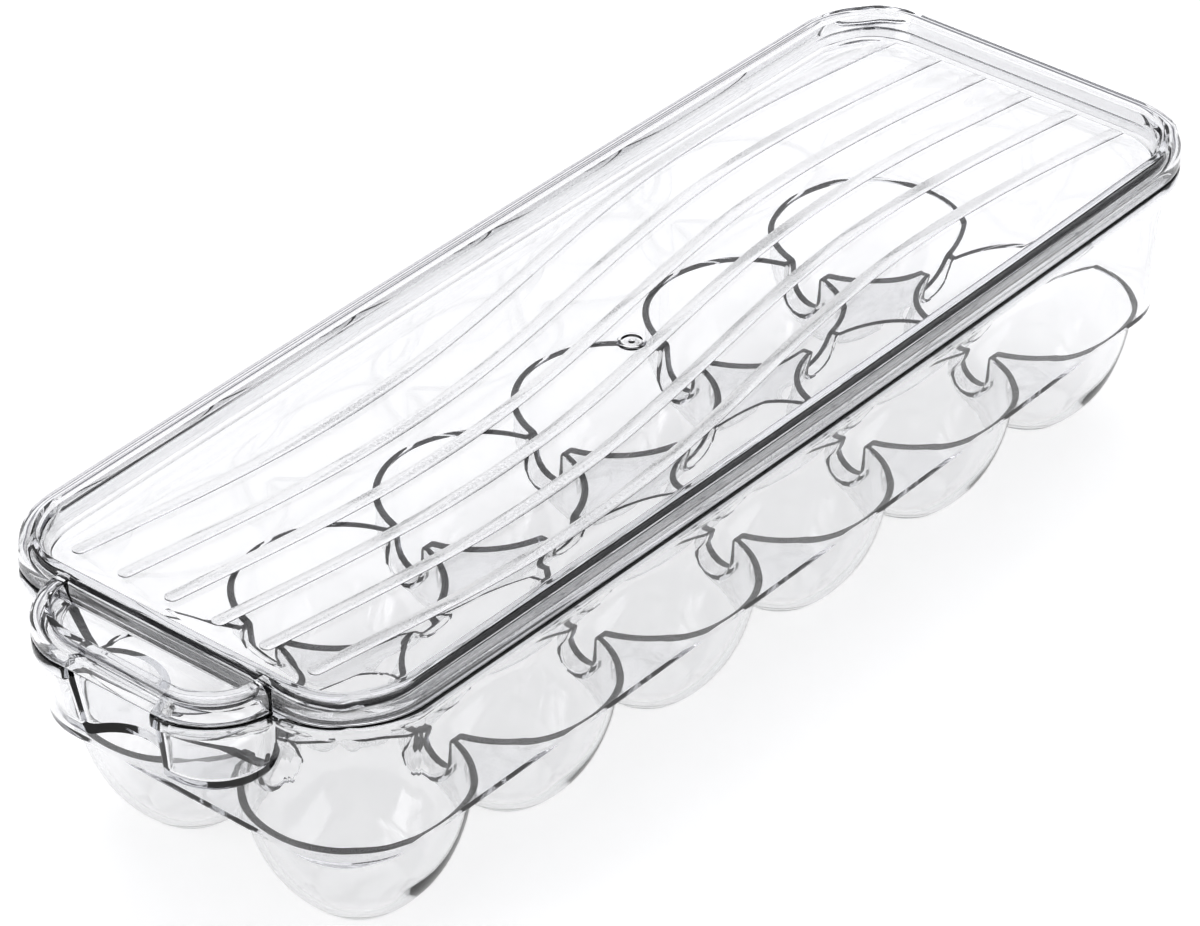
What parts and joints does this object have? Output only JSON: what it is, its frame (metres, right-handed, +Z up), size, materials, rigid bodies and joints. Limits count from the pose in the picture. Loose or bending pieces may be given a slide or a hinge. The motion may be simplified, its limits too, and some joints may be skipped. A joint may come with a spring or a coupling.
{
  "type": "egg holder tray",
  "caption": "Clear covered egg tray for a refrigerator, with two rows of egg cups, a grip pocket with a finger scoop at one end, and a lid that lifts off.",
  "frame": {"origin": "centre of the bounding box's base, on the surface the cups' feet stand on", "axes": "+X runs along the tray away from the grip, +Z up, +Y across the tray"},
  "size_m": [0.333, 0.1132, 0.0776],
  "materials": {
    "tray": "clear, glossy",
    "lid": "clear, glossy, with frosted wavy stripes"
  },
  "bodies": {
    "tray": {"tray_walls": "tray", "grip_pocket": "tray", "cups_left_odd": "tray", "cups_left_even": "tray", "cups_right_odd": "tray", "cups_right_even": "tray"},
    "lid": {"lid": "lid"}
  },
  "joints": [
    {"name": "lid_lift", "type": "slide", "parent": "tray", "child": "lid", "axis": [0, 0, 1], "range_m": [0, 0.08]}
  ]
}
